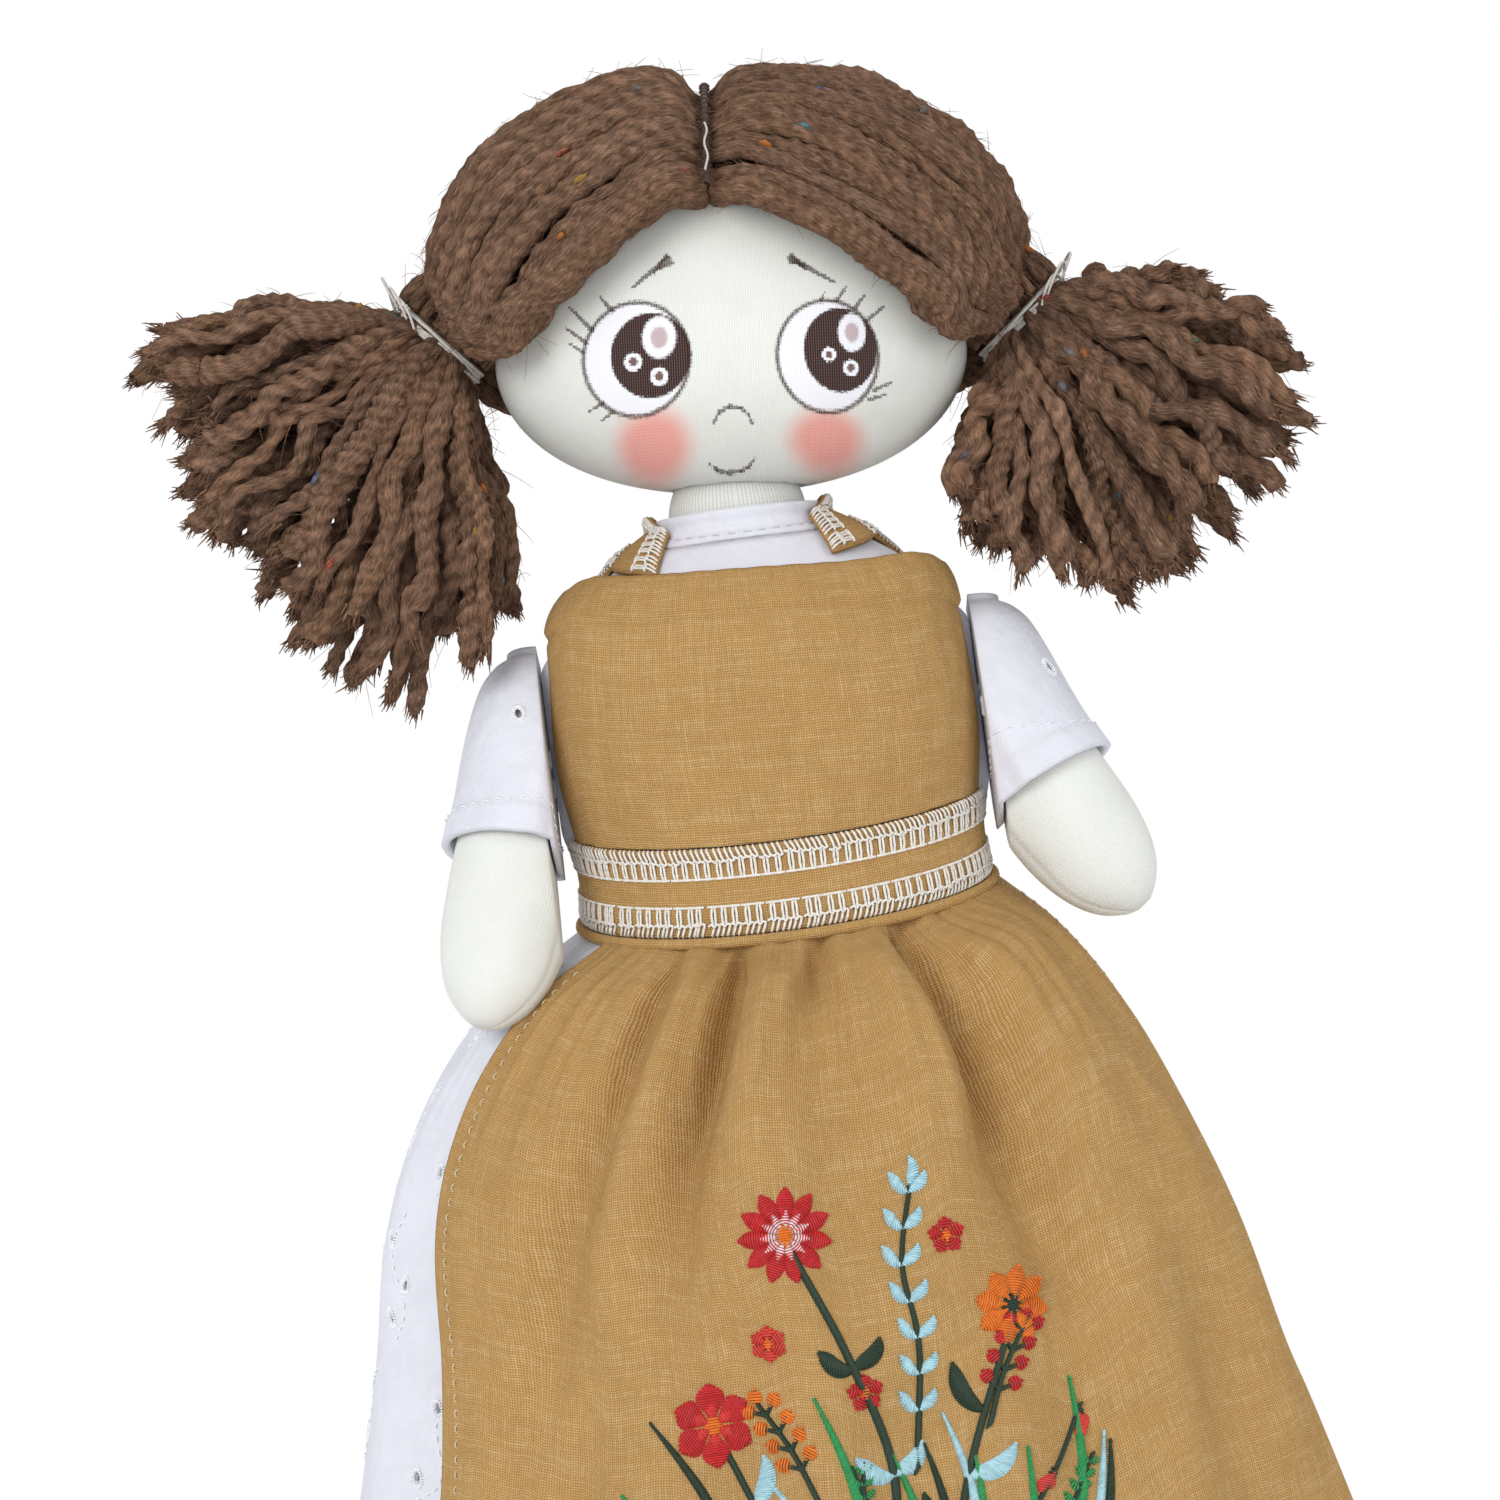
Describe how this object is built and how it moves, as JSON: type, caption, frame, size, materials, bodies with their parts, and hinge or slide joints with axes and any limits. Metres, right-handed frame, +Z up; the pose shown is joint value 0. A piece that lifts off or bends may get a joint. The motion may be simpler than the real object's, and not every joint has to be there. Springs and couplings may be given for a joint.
{
  "type": "rag doll",
  "caption": "Stuffed cloth doll with tweed yarn pigtails and a printed face, in a white eyelet dress and a linen apron tied at the back; it stands on flat soles.",
  "frame": {"origin": "on the floor under the middle of the doll's bounding box", "axes": "+Z up, the doll faces -Y, +X is to the right as seen from the front, which is the doll's own left"},
  "size_m": [0.2192, 0.144, 0.3998],
  "materials": {
    "knit": "fine off-white knit, matte",
    "eyelet_cotton": "white cotton with embroidered eyelets, matte",
    "apron_linen": "mustard linen in a plain weave, matte",
    "tweed_yarn": "brown slub yarn with coloured nepps, matte",
    "thread": "pale twisted thread, slight sheen",
    "shoe_felt": "brown wool felt, matte",
    "sole_leather": "brown leather, satin"
  },
  "bodies": {
    "torso": {"body": "knit", "dress_bodice": "eyelet_cotton", "dress_neckband": "eyelet_cotton", "dress_skirt": "eyelet_cotton", "apron_bib": "apron_linen", "apron_waistband": "apron_linen", "apron_skirt": "apron_linen", "strap_left": "apron_linen", "strap_right": "apron_linen", "bow_tail_left": "apron_linen", "bow_tail_right": "apron_linen", "bow_knot": "apron_linen", "bow_loop_left": "apron_linen", "bow_loop_right": "apron_linen"},
    "neck": {"neck": "knit"},
    "head": {"head": "knit", "hair_left": "tweed_yarn", "hair_right": "tweed_yarn", "parting_stitch": "thread"},
    "pigtail_left": {"pigtail_left": "tweed_yarn", "hair_tie_left": "thread"},
    "pigtail_right": {"pigtail_right": "tweed_yarn", "hair_tie_right": "thread"},
    "arm_left": {"arm_left": "knit", "sleeve_left": "eyelet_cotton"},
    "arm_right": {"arm_right": "knit", "sleeve_right": "eyelet_cotton"},
    "leg_left": {"leg_left": "knit", "shoe_left": "shoe_felt", "sole_left": "sole_leather", "ankle_strap_left": "shoe_felt"},
    "leg_right": {"leg_right": "knit", "shoe_right": "shoe_felt", "sole_right": "sole_leather", "ankle_strap_right": "shoe_felt"}
  },
  "joints": [
    {"name": "head_turn", "type": "hinge", "parent": "torso", "child": "neck", "pos_m": [-0.00042, 0, 0.3175], "axis": [0, 0, 1], "range_deg": [-30, 30]},
    {"name": "head_nod", "type": "hinge", "parent": "neck", "child": "head", "pos_m": [-0.00042, 0, 0.3175], "axis": [1, 0, 0], "range_deg": [-12, 12]},
    {"name": "pigtail_left_swing", "type": "hinge", "parent": "head", "child": "pigtail_left", "pos_m": [-0.05133, 0, 0.35508], "axis": [0, 1, 0], "range_deg": [0, 40]},
    {"name": "pigtail_right_swing", "type": "hinge", "parent": "head", "child": "pigtail_right", "pos_m": [0.05625, 0, 0.34567], "axis": [0, -1, 0], "range_deg": [0, 40]},
    {"name": "arm_left_swing", "type": "hinge", "parent": "torso", "child": "arm_left", "pos_m": [-0.04042, 0.002, 0.289], "axis": [-1, 0, 0], "range_deg": [0, 65]},
    {"name": "arm_right_swing", "type": "hinge", "parent": "torso", "child": "arm_right", "pos_m": [0.03958, 0.002, 0.289], "axis": [-1, 0, 0], "range_deg": [0, 65]},
    {"name": "leg_left_swing", "type": "hinge", "parent": "torso", "child": "leg_left", "pos_m": [-0.01742, 0, 0.186], "axis": [-1, 0, 0], "range_deg": [-25, 25]},
    {"name": "leg_right_swing", "type": "hinge", "parent": "torso", "child": "leg_right", "pos_m": [0.01658, 0, 0.186], "axis": [-1, 0, 0], "range_deg": [-25, 25]}
  ]
}
